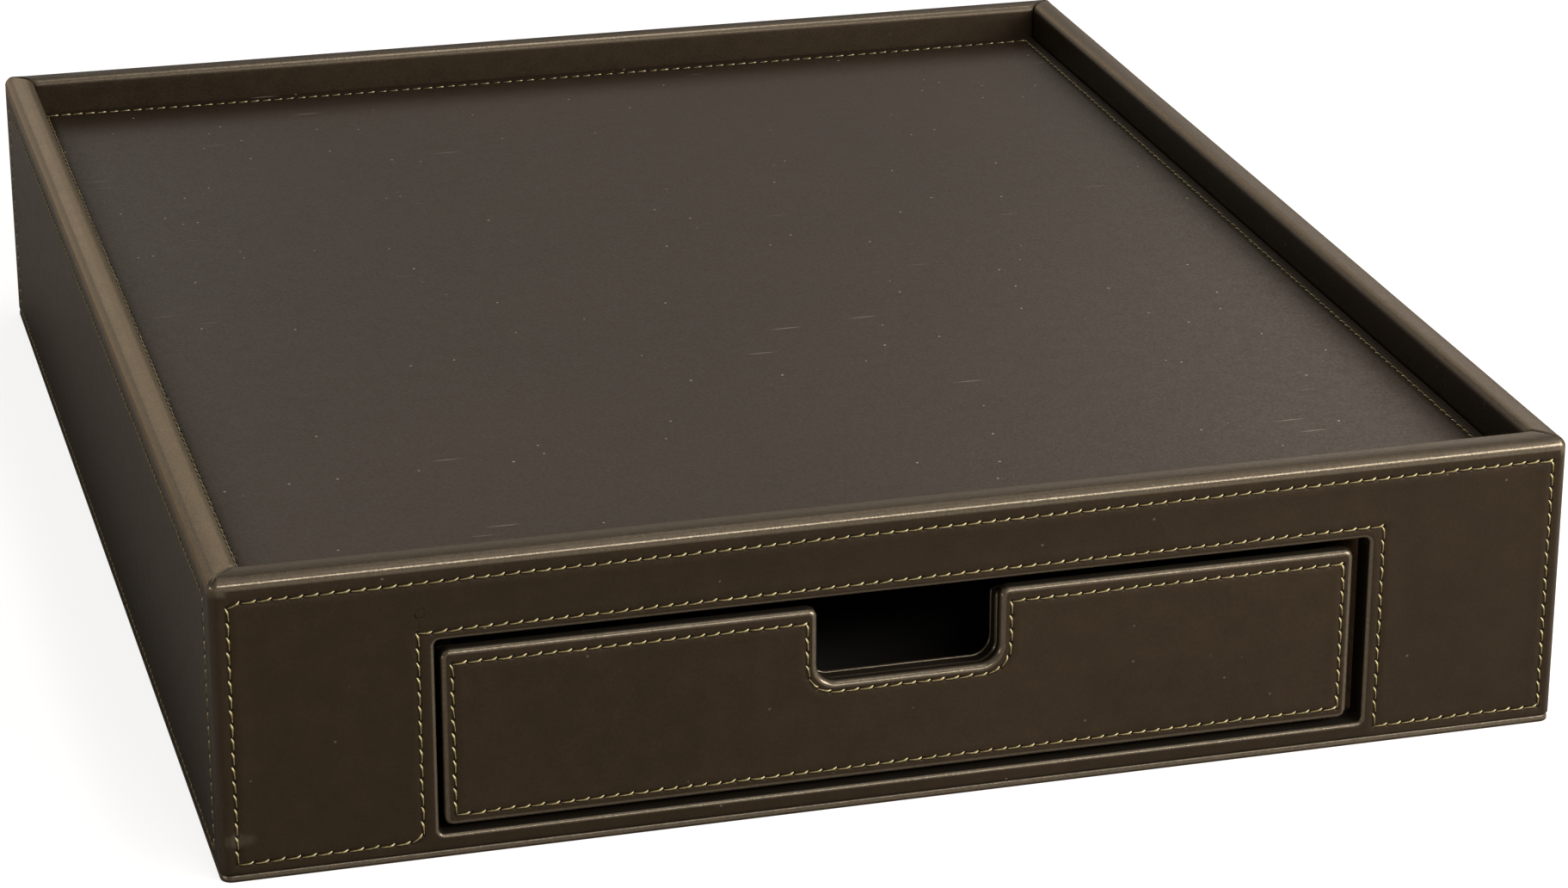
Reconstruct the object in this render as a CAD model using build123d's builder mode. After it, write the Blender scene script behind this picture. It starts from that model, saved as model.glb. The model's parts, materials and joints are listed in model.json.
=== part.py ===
# Tray with one drawer: a low wrapped box whose rim stands above a flat deck, with a drawer in its
# narrow front. Millimetres. +Z is up, the front faces -Y and the origin is the middle of the underside.

import os

from build123d import *

os.makedirs("parts", exist_ok=True)

# Leather and boards
leather = 0.7
wall_board = 7.0
floor_board_thickness = 3.5
deck_board_thickness = 4.0
divider_thickness = 5.0
base_board_thickness = 1.2
drawer_board = 3.0

# Case, measured over the leather
case_width = 350.0
case_depth = 420.0
case_height = 80.0
corner_radius = 3.0
rim_outer_radius = 2.7
rim_inner_radius = 2.4
hem_radius = 0.5

# Deck
deck_drop = 10.8
deck_edge_radius = 1.2
deck_gap = 0.25
ledger_width = 8.0
ledger_height = 8.0

# Bottom panel
base_turn_in = 18.0
base_edge_radius = 0.6

# Opening for the drawer, clear of the leather
opening_width = 242.5
opening_top = 58.0
opening_corner_radius = 1.5
opening_edge_radius = 1.1

# Drawer face and its gaps in the opening
face_side_gap = 2.75
face_top_gap = 2.75
face_bottom_gap = 1.9
face_recess = 0.1
face_corner_radius = 2.2
face_edge_radius = 1.6
face_turn_in = 8.0
drawer_shift = -1.4

# Finger notch, clear of the leather
notch_width = 47.6
notch_depth = 20.75
notch_radius = 5.0

# Drawer box
box_side_setback = 0.5
box_top_drop = 2.5
box_top_radius = 1.3
box_corner_radius = 1.8
front_lining_thickness = 0.8
front_lining_drop = 1.0
front_lining_lip = 0.7
drawer_lining_thickness = 0.8
lining_gap = 0.1

# Glides and stop
glide_width = 10.0
glide_inset = 4.0
glide_end_margin = 12.0
glide_clearance = 0.3
stop_length = 200.0
stop_width = 10.0
stop_height = 10.0
stop_clearance = 0.3
room_behind_stop = 14.0

# Nails
brad_radius = 0.6
brad_head_radius = 0.95
brad_head_height = 0.8
brad_slack = 0.03
corner_brad_length = 22.0
corner_brad_margin = 10.0
corner_brad_count = 3
floor_brad_length = 14.0
floor_brad_margin = 40.0
floor_brad_count = 3

# Levels
floor_bottom = leather + base_board_thickness
floor_top = floor_bottom + floor_board_thickness
rail_top = floor_top + leather
board_top = case_height - leather
deck_top = case_height - deck_drop
deck_board_top = deck_top - leather
deck_bottom = deck_board_top - deck_board_thickness

# Plan of the wall boards, and of the room inside them
board_width = case_width - 2 * leather
board_depth = case_depth - 2 * leather
room_width = board_width - 2 * wall_board
room_depth = board_depth - 2 * wall_board
case_front = -case_depth / 2
front_board_back = -room_depth / 2
leg_width = (board_width - opening_width) / 2 - leather

# Places of the drawer
face_width = opening_width - 2 * face_side_gap
face_bottom = rail_top + face_bottom_gap
face_top = opening_top - face_top_gap
face_front = case_front + face_recess
panel_thickness = drawer_board + 2 * leather
notch_floor = face_top - notch_depth
front_wall_front = face_front + panel_thickness
box_front = front_wall_front + panel_thickness
box_width = face_width - 2 * box_side_setback
box_top = face_top - box_top_drop
box_back = room_depth / 2 - room_behind_stop - stop_width - stop_clearance
box_board_width = box_width - 2 * leather
box_board_back = box_back - leather
box_board_top = box_top - leather
box_inner_width = box_width - 2 * panel_thickness
box_inner_back = box_back - panel_thickness
drawer_bottom_low = face_bottom + leather
drawer_bottom_top = drawer_bottom_low + drawer_board


def save(piece, name):
    # Labels a finished piece and writes it under its name
    piece.part.label = name
    export_step(piece.part, f"parts/{name}.step")


def slab(x_low, x_high, y_low, y_high, z_low, z_high):
    # Square block between two corners, as a tool for cuts and joints
    with BuildPart() as block:
        with BuildSketch(Plane.XY.offset(z_low)):
            with Locations(((x_low + x_high) / 2, (y_low + y_high) / 2)):
                Rectangle(x_high - x_low, y_high - y_low)
        extrude(amount=z_high - z_low)
    return block.part


def wall_ring(skin):
    # The four walls as one ring, grown by the skin on every face that shows
    with BuildPart() as ring:
        with BuildSketch(Plane.XY.offset(floor_bottom)):
            RectangleRounded(
                board_width + 2 * skin,
                board_depth + 2 * skin,
                corner_radius - leather + skin,
            )
        extrude(amount=board_top + skin - floor_bottom)
        with BuildSketch(Plane.XY.offset(floor_bottom)):
            Rectangle(room_width - 2 * skin, room_depth - 2 * skin)
        extrude(amount=board_top + skin - floor_bottom, mode=Mode.SUBTRACT)
        rim = ring.faces().sort_by(Axis.Z)[-1]
        fillet(rim.outer_wire().edges(), rim_outer_radius - leather + skin)
        rim = ring.faces().sort_by(Axis.Z)[-1]
        fillet(rim.inner_wires()[0].edges(), rim_inner_radius - leather + skin)
    return ring.part


def opening_block(skin, y_low, y_high):
    # The drawer opening as a solid, grown by the skin, for cutting through the front
    with BuildPart() as block:
        with BuildSketch(Plane.XZ.offset(-y_low)):
            with Locations((0, (rail_top + opening_top) / 2)):
                RectangleRounded(
                    opening_width + 2 * skin,
                    opening_top - rail_top + 2 * skin,
                    opening_corner_radius + skin,
                )
        extrude(amount=y_low - y_high)
    return block.part


def corner_brad_set(slack):
    # Nails through the front and back boards into the ends of the side boards
    nail_span = board_top - floor_top - 2 * corner_brad_margin
    with BuildPart() as nails:
        for radius, length in (
            (brad_head_radius, brad_head_height),
            (brad_radius, corner_brad_length),
        ):
            with BuildSketch(Plane.XZ.offset(board_depth / 2)):
                with Locations((0, (board_top + floor_top) / 2)):
                    with GridLocations(
                        board_width - wall_board,
                        nail_span / (corner_brad_count - 1),
                        2,
                        corner_brad_count,
                    ):
                        Circle(radius + slack)
            extrude(amount=-length)
        mirror(about=Plane.XZ)
    return nails.part


def floor_brad_set(slack):
    # Nails up through the floor board into the side boards, the back board and the front's two legs
    side_pitch = (room_depth - 2 * floor_brad_margin) / (floor_brad_count - 1)
    back_pitch = (room_width - 2 * floor_brad_margin) / (floor_brad_count - 1)
    with BuildPart() as nails:
        for radius, length in (
            (brad_head_radius, brad_head_height),
            (brad_radius, floor_brad_length),
        ):
            with BuildSketch(Plane.XY.offset(floor_bottom)):
                with GridLocations(board_width - wall_board, side_pitch, 2, floor_brad_count):
                    Circle(radius + slack)
                with Locations((0, (board_depth - wall_board) / 2)):
                    with GridLocations(back_pitch, 1, floor_brad_count, 1):
                        Circle(radius + slack)
                with Locations((0, -(board_depth - wall_board) / 2)):
                    with GridLocations(board_width - leg_width, 1, 2, 1):
                        Circle(radius + slack)
            extrude(amount=length)
    return nails.part


def notched_panel(front, width, bottom, top, edge_radius, inset):
    # A wrapped panel with the finger notch, as its leather outline (inset 0) or its board (inset leather)
    with BuildPart() as panel:
        with BuildSketch(Plane.XZ.offset(-(front + inset))) as outline:
            with Locations((drawer_shift, (bottom + top) / 2)):
                Rectangle(width - 2 * inset, top - bottom - 2 * inset)
            with Locations((drawer_shift, notch_floor - inset)):
                Rectangle(
                    notch_width + 2 * inset,
                    2 * notch_depth,
                    align=(Align.CENTER, Align.MIN),
                    mode=Mode.SUBTRACT,
                )
            levels = outline.vertices().group_by(Axis.Y)
            fillet(levels[1], notch_radius + inset)
            levels = outline.vertices().group_by(Axis.Y)
            fillet(levels[0] + levels[-1], face_corner_radius - inset)
        extrude(amount=-(panel_thickness - 2 * inset))
        ends = panel.faces().filter_by(Axis.Y)
        fillet(ends.edges(), edge_radius - inset)
    return panel.part


def turn_in_window(back, width, bottom, top):
    # The bare field on the back of a panel, inside the leather that is turned in
    with BuildPart() as window:
        with BuildSketch(Plane.XZ.offset(-(back - leather))):
            with Locations((drawer_shift, (bottom + top) / 2)):
                Rectangle(width - 2 * face_turn_in, top - bottom - 2 * face_turn_in)
            with Locations((drawer_shift, notch_floor - face_turn_in)):
                Rectangle(
                    notch_width + 2 * face_turn_in,
                    2 * notch_depth,
                    align=(Align.CENTER, Align.MIN),
                    mode=Mode.SUBTRACT,
                )
        extrude(amount=-leather)
    return window.part


def box_walls(skin):
    # Left, back and right walls of the drawer box as one U, grown by the skin where leather covers it
    outer_width = box_board_width + 2 * skin
    inner_width = box_board_width - 2 * drawer_board - 2 * skin
    outer_back = box_board_back + skin
    inner_back = box_board_back - drawer_board - skin
    with BuildPart() as walls:
        with BuildSketch(Plane.XY.offset(face_bottom)) as plan:
            with Locations((drawer_shift, (box_front + outer_back) / 2)):
                Rectangle(outer_width, outer_back - box_front)
            fillet(plan.vertices().group_by(Axis.Y)[-1], box_corner_radius - leather + skin)
            with Locations((drawer_shift, (box_front + inner_back) / 2)):
                Rectangle(inner_width, inner_back - box_front, mode=Mode.SUBTRACT)
        extrude(amount=box_board_top + skin - face_bottom)
        top_face = walls.faces().sort_by(Axis.Z)[-1]
        long_edges = top_face.edges().filter_by(lambda edge: edge.center().Y > box_front + leather)
        fillet(long_edges, box_top_radius - leather + skin)
    return walls.part


wall_core = wall_ring(0)
wall_over_leather = wall_ring(leather)
opening_in_board = opening_block(leather, case_front + leather, front_board_back)
opening_clear = opening_block(0, case_front - leather, front_board_back + leather)
corner_brad_holes = corner_brad_set(brad_slack)
floor_brad_holes = floor_brad_set(brad_slack)

# Case: floor board, which all walls stand on. Its front edge is the rail under the drawer
with BuildPart() as floor_board:
    with BuildSketch(Plane.XY.offset(floor_bottom)):
        RectangleRounded(board_width, board_depth, corner_radius - leather)
    extrude(amount=floor_board_thickness)
    add(floor_brad_holes, mode=Mode.SUBTRACT)
save(floor_board, "floor_board")

# Case: wall boards. Front and back run the full width, and the sides stand between them
half_width = board_width / 2
half_depth = board_depth / 2
board_places = {
    "front_board": (-half_width, half_width, -half_depth, -half_depth + wall_board),
    "back_board": (-half_width, half_width, half_depth - wall_board, half_depth),
    "left_board": (-half_width, -half_width + wall_board, -room_depth / 2, room_depth / 2),
    "right_board": (half_width - wall_board, half_width, -room_depth / 2, room_depth / 2),
}
for board_name, (x_low, x_high, y_low, y_high) in board_places.items():
    board_zone = slab(x_low, x_high, y_low, y_high, floor_top, case_height)
    with BuildPart() as wall_piece:
        add(wall_core)
        add(board_zone, mode=Mode.INTERSECT)
        add(corner_brad_holes, mode=Mode.SUBTRACT)
        add(floor_brad_holes, mode=Mode.SUBTRACT)
        if board_name == "front_board":
            add(opening_in_board, mode=Mode.SUBTRACT)
    save(wall_piece, board_name)

# Case: nails
corner_nails = corner_brad_set(0)
with BuildPart() as corner_brads:
    add(corner_nails)
save(corner_brads, "corner_brads")

floor_nails = floor_brad_set(0)
with BuildPart() as floor_brads:
    add(floor_nails)
save(floor_brads, "floor_brads")

# Case: dividers beside the drawer, which guide it and carry the deck
for side, divider_name in ((-1, "left_divider"), (1, "right_divider")):
    with BuildPart() as divider:
        with BuildSketch(Plane.XY.offset(floor_top)):
            with Locations((side * (opening_width + divider_thickness) / 2, 0)):
                Rectangle(divider_thickness, room_depth)
        extrude(amount=deck_bottom - floor_top)
    save(divider, divider_name)

# Case: ledgers on the side walls, under the edges of the deck
for side, ledger_name in ((-1, "left_deck_ledger"), (1, "right_deck_ledger")):
    with BuildPart() as ledger:
        with BuildSketch(Plane.XY.offset(deck_bottom - ledger_height)):
            with Locations((side * (room_width - ledger_width) / 2, 0)):
                Rectangle(ledger_width, room_depth)
        extrude(amount=ledger_height)
    save(ledger, ledger_name)

# Case: deck, a board with leather over its top and edges
deck_width = room_width - 2 * leather - 2 * deck_gap
deck_depth = room_depth - 2 * leather - 2 * deck_gap
with BuildPart() as deck_board:
    with BuildSketch(Plane.XY.offset(deck_bottom)):
        Rectangle(deck_width - 2 * leather, deck_depth - 2 * leather)
    extrude(amount=deck_board_thickness)
    fillet(deck_board.faces().sort_by(Axis.Z)[-1].edges(), deck_edge_radius - leather)
save(deck_board, "deck_board")

with BuildPart() as deck_cover:
    with BuildSketch(Plane.XY.offset(deck_bottom)):
        Rectangle(deck_width, deck_depth)
    extrude(amount=deck_top - deck_bottom)
    fillet(deck_cover.faces().sort_by(Axis.Z)[-1].edges(), deck_edge_radius)
    add(deck_board.part, mode=Mode.SUBTRACT)
save(deck_cover, "deck_cover")

# Case: leather of the walls, one sheet a wall, mitred where two sheets meet
below_deck = slab(
    -room_width / 2, room_width / 2, -room_depth / 2, room_depth / 2, floor_bottom, deck_bottom
)
with BuildPart() as leather_ring:
    add(wall_over_leather)
    hem = leather_ring.faces().sort_by(Axis.Z)[0].outer_wire().edges()
    fillet(hem, hem_radius)
    add(wall_core, mode=Mode.SUBTRACT)
    add(below_deck, mode=Mode.SUBTRACT)

mitre_reach = wall_board + 4 * leather
outer_x = case_width / 2
outer_y = case_depth / 2
mitre_plans = {
    "front_cover": ((-1, -1), (1, -1)),
    "back_cover": ((1, 1), (-1, 1)),
    "left_cover": ((-1, 1), (-1, -1)),
    "right_cover": ((1, -1), (1, 1)),
}
for cover_name, corners in mitre_plans.items():
    outside = [(sx * outer_x, sy * outer_y) for sx, sy in corners]
    inside = [(sx * (outer_x - mitre_reach), sy * (outer_y - mitre_reach)) for sx, sy in corners]
    with BuildPart() as mitre_zone:
        with BuildSketch():
            Polygon(*outside, *reversed(inside), align=None)
        extrude(amount=case_height)
    with BuildPart() as wall_cover:
        add(leather_ring.part)
        add(mitre_zone.part, mode=Mode.INTERSECT)
        if cover_name == "front_cover":
            add(opening_in_board)
            add(opening_clear, mode=Mode.SUBTRACT)
            mouth = wall_cover.faces().filter_by(Axis.Y).sort_by(Axis.Y)[0]
            fillet(mouth.inner_wires()[0].edges(), opening_edge_radius)
    save(wall_cover, cover_name)

# Case: sheet that the drawer slides on, and the strip that stops it
with BuildPart() as bay_lining:
    with BuildSketch(Plane.XY.offset(floor_top)):
        Rectangle(opening_width, room_depth)
    extrude(amount=rail_top - floor_top)
save(bay_lining, "bay_lining")

with BuildPart() as drawer_stop:
    with BuildSketch(Plane.XY.offset(rail_top)):
        with Locations((0, box_back + stop_clearance + stop_width / 2)):
            Rectangle(stop_length, stop_width)
    extrude(amount=stop_height)
save(drawer_stop, "drawer_stop")

# Case: bottom panel, a thin board with leather around its edge and felt in its middle
felt_width = board_width - 2 * base_turn_in
felt_depth = board_depth - 2 * base_turn_in
with BuildPart() as base_board:
    with BuildSketch(Plane.XY.offset(leather)):
        RectangleRounded(board_width, board_depth, corner_radius - leather)
    extrude(amount=base_board_thickness)
save(base_board, "base_board")

with BuildPart() as base_cover:
    with BuildSketch():
        RectangleRounded(case_width, case_depth, corner_radius)
    extrude(amount=floor_bottom)
    lip = base_cover.faces().filter_by(Axis.Z).edges()
    fillet(lip, base_edge_radius)
    add(base_board.part, mode=Mode.SUBTRACT)
    with BuildSketch():
        Rectangle(felt_width, felt_depth)
    extrude(amount=leather, mode=Mode.SUBTRACT)
save(base_cover, "base_cover")

with BuildPart() as underside_felt:
    with BuildSketch():
        Rectangle(felt_width, felt_depth)
    extrude(amount=leather)
save(underside_felt, "underside_felt")

# Drawer: face and the front wall behind it, two wrapped panels with the same notch
panel_places = {
    "drawer_face_board": ("drawer_face_cover", face_front, face_width, face_top),
    "drawer_front_wall": ("drawer_front_cover", front_wall_front, box_width, box_top),
}
for core_name, (cover_name, front, width, top) in panel_places.items():
    panel_core = notched_panel(front, width, face_bottom, top, face_edge_radius, leather)
    panel_over_leather = notched_panel(front, width, face_bottom, top, face_edge_radius, 0)
    bare_field = turn_in_window(front + panel_thickness, width, face_bottom, top)
    with BuildPart() as core:
        add(panel_core)
    save(core, core_name)
    with BuildPart() as wrap:
        add(panel_over_leather)
        add(panel_core, mode=Mode.SUBTRACT)
        add(bare_field, mode=Mode.SUBTRACT)
    save(wrap, cover_name)

# Drawer: left, back and right walls, and the leather strip around them
wall_u = box_walls(0)
wall_u_over_leather = box_walls(leather)
side_x = box_board_width / 2
box_wall_places = {
    "drawer_left_wall": (-side_x, -side_x + drawer_board, box_front, box_board_back - drawer_board),
    "drawer_right_wall": (side_x - drawer_board, side_x, box_front, box_board_back - drawer_board),
    "drawer_back_wall": (-side_x, side_x, box_board_back - drawer_board, box_board_back),
}
for wall_name, (x_low, x_high, y_low, y_high) in box_wall_places.items():
    wall_zone = slab(
        drawer_shift + x_low, drawer_shift + x_high, y_low, y_high, drawer_bottom_low, box_top
    )
    with BuildPart() as box_wall:
        add(wall_u)
        add(wall_zone, mode=Mode.INTERSECT)
    save(box_wall, wall_name)

below_drawer_floor = slab(
    drawer_shift - side_x + drawer_board,
    drawer_shift + side_x - drawer_board,
    box_front,
    box_board_back - drawer_board,
    face_bottom,
    drawer_bottom_top,
)
with BuildPart() as drawer_wall_cover:
    add(wall_u_over_leather)
    add(wall_u, mode=Mode.SUBTRACT)
    add(below_drawer_floor, mode=Mode.SUBTRACT)
save(drawer_wall_cover, "drawer_wall_cover")

# Drawer: bottom, the sheet under it, and the linings inside
with BuildPart() as drawer_bottom:
    with BuildSketch(Plane.XY.offset(drawer_bottom_low)):
        with Locations((drawer_shift, (box_front + box_board_back - drawer_board) / 2)):
            Rectangle(box_board_width - 2 * drawer_board, box_board_back - drawer_board - box_front)
    extrude(amount=drawer_board)
save(drawer_bottom, "drawer_bottom")

with BuildPart() as drawer_bottom_cover:
    with BuildSketch(Plane.XY.offset(face_bottom)) as bottom_plan:
        with Locations((drawer_shift, (box_front + box_board_back) / 2)):
            Rectangle(box_board_width, box_board_back - box_front)
        fillet(bottom_plan.vertices().group_by(Axis.Y)[-1], box_corner_radius - leather)
    extrude(amount=leather)
save(drawer_bottom_cover, "drawer_bottom_cover")

with BuildPart() as drawer_front_lining:
    with BuildSketch(Plane.XZ.offset(-box_front)) as lining_outline:
        with Locations((drawer_shift, (drawer_bottom_top + box_top - front_lining_drop) / 2)):
            Rectangle(
                box_inner_width - 2 * lining_gap,
                box_top - front_lining_drop - drawer_bottom_top,
            )
        with Locations((drawer_shift, notch_floor + front_lining_lip)):
            Rectangle(
                notch_width - 2 * front_lining_lip,
                2 * notch_depth,
                align=(Align.CENTER, Align.MIN),
                mode=Mode.SUBTRACT,
            )
        fillet(lining_outline.vertices().group_by(Axis.Y)[1], notch_radius - front_lining_lip)
    extrude(amount=-front_lining_thickness)
save(drawer_front_lining, "drawer_front_lining")

with BuildPart() as drawer_lining:
    lining_front = box_front + front_lining_thickness
    with BuildSketch(Plane.XY.offset(drawer_bottom_top)):
        with Locations((drawer_shift, (lining_front + box_inner_back) / 2)):
            Rectangle(box_inner_width - 2 * lining_gap, box_inner_back - lining_front - 2 * lining_gap)
    extrude(amount=drawer_lining_thickness)
save(drawer_lining, "drawer_lining")

# Drawer: the two strips that it slides on
glide_bottom = rail_top + glide_clearance
with BuildPart() as drawer_glides:
    with BuildSketch(Plane.XY.offset(glide_bottom)):
        with Locations((drawer_shift, (box_front + box_back) / 2)):
            with GridLocations(box_width - 2 * glide_inset - glide_width, 1, 2, 1):
                Rectangle(glide_width, box_back - box_front - 2 * glide_end_margin)
    extrude(amount=face_bottom - glide_bottom)
save(drawer_glides, "drawer_glides")
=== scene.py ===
import json
import math

import bpy
import numpy as np
from mathutils import Euler, Matrix, Vector


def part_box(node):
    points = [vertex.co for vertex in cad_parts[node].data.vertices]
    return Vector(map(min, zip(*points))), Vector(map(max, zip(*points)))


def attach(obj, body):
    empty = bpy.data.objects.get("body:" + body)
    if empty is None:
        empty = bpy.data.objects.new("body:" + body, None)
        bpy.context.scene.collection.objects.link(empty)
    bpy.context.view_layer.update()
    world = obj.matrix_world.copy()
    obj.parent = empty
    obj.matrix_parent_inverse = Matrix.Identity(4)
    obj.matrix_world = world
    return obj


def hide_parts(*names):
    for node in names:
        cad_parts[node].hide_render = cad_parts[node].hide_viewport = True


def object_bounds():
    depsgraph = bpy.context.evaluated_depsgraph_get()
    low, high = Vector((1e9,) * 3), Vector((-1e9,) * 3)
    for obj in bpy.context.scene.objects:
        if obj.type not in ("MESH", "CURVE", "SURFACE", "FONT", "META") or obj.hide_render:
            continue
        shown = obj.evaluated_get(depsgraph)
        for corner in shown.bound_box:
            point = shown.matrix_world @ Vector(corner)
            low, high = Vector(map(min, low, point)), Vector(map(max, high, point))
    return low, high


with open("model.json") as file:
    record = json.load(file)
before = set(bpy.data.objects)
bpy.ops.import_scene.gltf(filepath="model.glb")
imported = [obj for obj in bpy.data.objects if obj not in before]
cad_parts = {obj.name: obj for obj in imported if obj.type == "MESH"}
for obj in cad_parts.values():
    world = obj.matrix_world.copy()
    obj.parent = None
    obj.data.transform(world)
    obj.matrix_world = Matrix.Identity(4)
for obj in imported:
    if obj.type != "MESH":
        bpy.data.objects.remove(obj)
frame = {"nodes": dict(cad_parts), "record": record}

cadLow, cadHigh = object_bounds()
mm = 0.001
scene = bpy.context.scene
chance = np.random.default_rng(41)

tray = {
    "halfWidth": cadHigh.x / mm,
    "halfDepth": cadHigh.y / mm,
    "height": cadHigh.z / mm,
    "sheet": 0.68,         # thickness of the leather, a hair less than the CAD's to clear its board
    "pitch": 3.75,         # one machine stitch
}
print("frame loaded", len(frame["nodes"]), "nodes")


# Grids, outlines and shells, all in millimetres

def rising(value, start, over):
    # 0 up to a start, then up to 1 over a length
    return np.clip((value - start) / over, 0, 1)


def bell(distance, width):
    return np.exp(-(distance / width) ** 2)


def linesThrough(stations, step):
    # the stations, with even steps between them
    lines = [stations[0]]
    for low, high in zip(stations[:-1], stations[1:]):
        count = max(1, math.ceil((high - low) / step - 1e-6))
        lines += list(np.linspace(low, high, count + 1)[1:])
    return np.array(lines)


def touching(cells):
    # nodes of a grid that touch a marked cell
    nodes = np.zeros((cells.shape[0] + 1, cells.shape[1] + 1), bool)
    for i in (0, 1):
        for j in (0, 1):
            nodes[i:i + cells.shape[0], j:j + cells.shape[1]] |= cells
    return nodes


def cellGrid(uLines, vLines, fineAt, keepAt, split=4):
    # a grid of quads whose cells are split where fineAt says so, without the cells that keepAt refuses
    nu, nv = len(uLines) - 1, len(vLines) - 1
    fineU = np.interp(np.arange(nu * split + 1) / split, np.arange(nu + 1), uLines)
    fineV = np.interp(np.arange(nv * split + 1) / split, np.arange(nv + 1), vLines)
    midU, midV = np.meshgrid((uLines[:-1] + uLines[1:]) / 2, (vLines[:-1] + vLines[1:]) / 2, indexing="ij")
    isFine = fineAt(midU, midV)
    coarse = keepAt(midU, midV) & ~isFine
    midU, midV = np.meshgrid((fineU[:-1] + fineU[1:]) / 2, (fineV[:-1] + fineV[1:]) / 2, indexing="ij")
    block = np.ones((split, split), bool)
    small = keepAt(midU, midV) & np.kron(isFine, block)
    kept = small | np.kron(coarse, block)
    used = touching(small)
    cornersOfCoarse = touching(coarse)
    used[::split, ::split] |= cornersOfCoarse
    number = np.full(used.shape, -1)
    number[used] = np.arange(used.sum())
    i, j = np.nonzero(small)
    quads = [number[i, j], number[i + 1, j], number[i + 1, j + 1], number[i, j + 1]]
    faces = np.stack(quads, axis=1).tolist()
    sides = ((0, 0, 1, 0), (split, 0, 0, 1), (split, split, -1, 0), (0, split, 0, -1))
    border = [(i + stepI * k, j + stepJ * k) for i, j, stepI, stepJ in sides for k in range(split)]
    for corner in np.argwhere(coarse) * split:
        nodes = [number[tuple(corner + offset)] for offset in border]
        faces.append([int(node) for node in nodes if node >= 0])
    atHole = (touching(kept) & touching(~kept))[used]
    i, j = np.nonzero(used)
    return np.stack([fineU[i], fineV[j]], axis=1), faces, atHole


def openLoops(faces):
    # closed chains of the edges that only one face has
    follow = set()
    for face in faces:
        for a, b in zip(face, face[1:] + face[:1]):
            if (b, a) in follow:
                follow.remove((b, a))
            else:
                follow.add((a, b))
    after = dict(follow)
    loops = []
    while after:
        start, here = after.popitem()
        loop = [start]
        while here != start:
            loop.append(here)
            here = after.pop(here)
        loops.append(loop)
    return loops


def roundedPath(corners, spacing=0.12):
    # points and outward normals round a closed line of (x, y, radius) corners, with the sheet on its left
    points, normals, bends = [], [], []
    count = len(corners)
    for k in range(count):
        after = corners[(k + 1) % count]
        here = np.array(corners[k][:2])
        radius = corners[k][2]
        back = np.array(corners[k - 1][:2]) - here
        ahead = np.array(after[:2]) - here
        into, out = -back / np.linalg.norm(back), ahead / np.linalg.norm(ahead)
        side = 1 if into[0] * out[1] - into[1] * out[0] > 0 else -1
        start = here - into * radius
        centre = start + side * radius * np.array([-into[1], into[0]])
        steps = max(2, math.ceil(radius * math.pi / 2 / spacing))
        first = math.atan2(*(start - centre)[::-1])
        for t in np.linspace(0, 1, steps + 1):
            angle = first + side * t * math.pi / 2
            ray = np.array([math.cos(angle), math.sin(angle)])
            points.append(centre + radius * ray)
            normals.append(side * ray)
            bends.append(True)
        last = points[-1]
        end = np.array(after[:2]) - out * after[2]
        length = np.linalg.norm(end - last)
        for t in np.linspace(0, 1, max(2, math.ceil(length / spacing)) + 1)[1:-1]:
            points.append(last + (end - last) * t)
            normals.append(np.array([out[1], -out[0]]))
            bends.append(False)
    return np.array(points), np.array(normals), np.array(bends)


class Outline:  # the edge of a wrapped panel, which can be asked for at any inset

    def __init__(self, corners):
        self.points, self.normals, self.bends = roundedPath(corners)

    def at(self, inset):
        return self.points - self.normals * inset

    def nearest(self, where, inset):
        rim = self.at(inset)
        return np.array([((rim - spot) ** 2).sum(axis=1).argmin() for spot in where])

    def holds(self, inset):
        # a test of whether points lie on the sheet's side of the edge
        rim = self.at(inset)[self.bends]

        def test(u, v):
            inside = np.zeros(u.shape, bool)
            for (x, y), (nextX, nextY) in zip(rim, np.roll(rim, -1, axis=0)):
                if y != nextY:
                    at = x + (v - y) * (nextX - x) / (nextY - y)
                    inside ^= ((y > v) != (nextY > v)) & (u < at)
            return inside

        return test


class Seam:  # a line of stitches, in runs that each hold a whole number of them

    def __init__(self, runs, pitch):
        self.runs = []
        for run in runs:
            points = np.array(run, float)
            lengths = np.hypot(*np.diff(points, axis=0).T)
            count = max(1, round(lengths.sum() / pitch))
            self.runs.append((points, np.concatenate([[0], np.cumsum(lengths)]), count))

    def near(self, where):
        # distance to the left of the seam, and the place along it in stitches
        side = np.full(len(where), 1e9)
        run = np.zeros(len(where))
        before = 0
        for points, ends, count in self.runs:
            for start, end, begin in zip(points[:-1], points[1:], ends[:-1]):
                line = end - start
                length = math.hypot(*line)
                off = where - start
                t = np.clip(off @ line / length ** 2, 0, 1)
                gap = np.hypot(*(off - t[:, None] * line).T)
                left = np.where(line[0] * off[:, 1] < line[1] * off[:, 0], -gap, gap)
                closer = gap < np.abs(side)
                side = np.where(closer, left, side)
                run = np.where(closer, before + (begin + t * length) / ends[-1] * count, run)
            before += count
        return side, run

    def stitches(self):
        # middle and direction of each stitch, and its length
        for points, ends, count in self.runs:
            at = np.linspace(0, ends[-1], count + 1)
            spots = np.stack([np.interp(at, ends, points[:, k]) for k in (0, 1)], axis=1)
            for a, b in zip(spots[:-1], spots[1:]):
                yield (a + b) / 2, (b - a) / np.linalg.norm(b - a), np.linalg.norm(b - a)


pressed = {
    "reach": 2.6,          # how far to each side of a seam the cells are fine
    "channelWide": 0.6,    # the groove that the thread pulls into the leather
    "pullDeep": 0.3,       # the dip at each needle hole, across and along the seam
    "pullWide": 0.42,
    "pullLong": 0.36,
    "puffAt": 2.0,         # where the leather swells beside the groove
    "puffWide": 1.1,
}


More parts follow.
